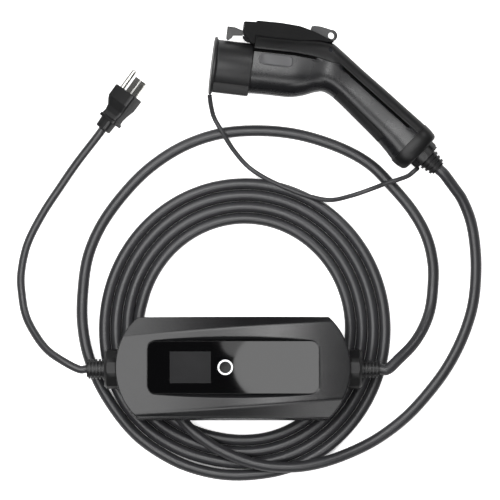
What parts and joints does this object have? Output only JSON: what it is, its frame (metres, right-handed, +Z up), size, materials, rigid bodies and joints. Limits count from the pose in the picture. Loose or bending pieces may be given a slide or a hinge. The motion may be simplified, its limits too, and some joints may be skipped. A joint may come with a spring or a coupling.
{
  "type": "portable ev charger",
  "caption": "Portable vehicle charger: in-cable control box with display and button, coiled output cable to a latched handle connector with dust cap, short supply cord to a mains plug.",
  "frame": {"origin": "on the surface it lies on, under the middle of the box and connector together, without the cords", "axes": "+Z up from the surface, +X along the control box from its supply end to its output end, +Y across the surface from the control box to the connector"},
  "size_m": [0.4417, 0.437, 0.0686],
  "materials": {
    "matte_shell": "fine texture",
    "gloss_panel": "polished",
    "gloss_handle": "semi-gloss moulding",
    "moulded_rubber": "satin",
    "cable_jacket": "matt jacket",
    "zinc_steel": "plated",
    "plated_prongs": "nickel-plated",
    "contact_brass": "turned",
    "circuit_board": "lacquer",
    "blue_housing": "moulded",
    "green_housing": "moulded",
    "black_housing": "moulded",
    "wire_cover": "extruded",
    "display_glass": "smoked window",
    "light_ring": "diffuser"
  },
  "bodies": {
    "root": {"box_base": "matte_shell", "box_cover": "matte_shell", "box_seal": "moulded_rubber", "box_screws": "zinc_steel", "front_panel": "gloss_panel", "display_window": "display_glass", "display_module": "display_glass", "button_ring": "light_ring", "button_switch": "black_housing", "display_board": "circuit_board", "circuit_board": "circuit_board", "power_relays": "blue_housing", "current_sensor": "black_housing", "power_supply": "blue_housing", "supply_terminals": "green_housing", "output_terminals": "green_housing", "supply_wires": "wire_cover", "output_wires": "wire_cover", "supply_gland_nut": "matte_shell", "supply_relief": "moulded_rubber", "output_gland_nut": "matte_shell", "output_relief": "moulded_rubber", "handle_body": "gloss_handle", "handle_back": "matte_shell", "grip_insert": "moulded_rubber", "latch_cover": "matte_shell", "latch_pin": "zinc_steel", "latch_spring": "zinc_steel", "latch_switch": "black_housing", "nose_insulator": "matte_shell", "power_contacts": "contact_brass", "earth_contact": "contact_brass", "signal_contacts": "contact_brass", "handle_wires": "wire_cover", "handle_screw": "zinc_steel", "end_collar": "matte_shell", "connector_gland_nut": "moulded_rubber", "connector_relief": "moulded_rubber", "cap_tether": "moulded_rubber", "tether_ring": "moulded_rubber", "main_cable_coil": "cable_jacket", "output_lead": "cable_jacket", "connector_lead": "cable_jacket", "supply_cord": "cable_jacket", "plug_body": "cable_jacket", "plug_blades": "plated_prongs", "plug_earth_pin": "plated_prongs"},
    "latch": {"latch_lever": "moulded_rubber"},
    "cap": {"dust_cap": "moulded_rubber"},
    "button": {"set_button": "gloss_panel"}
  },
  "joints": [
    {"name": "latch_pivot", "type": "hinge", "parent": "root", "child": "latch", "pos_m": [0.01243, 0.17786, 0.02527], "axis": [-0.0393, 0.0048, -0.9992], "range_deg": [0, 4], "stiffness_Nm_per_rad": 3, "springref_deg": -2.86, "deforming": ["latch_spring"]},
    {"name": "cap_pull", "type": "slide", "parent": "root", "child": "cap", "axis": [-0.992, 0.12, 0.0396], "range_m": [0, 0.045], "deforming": ["cap_tether"]},
    {"name": "button_press", "type": "slide", "parent": "root", "child": "button", "axis": [0, -0.0785, -0.9969], "range_m": [0, 0.001], "stiffness_N_per_m": 500, "springref_m": -0.0005}
  ]
}
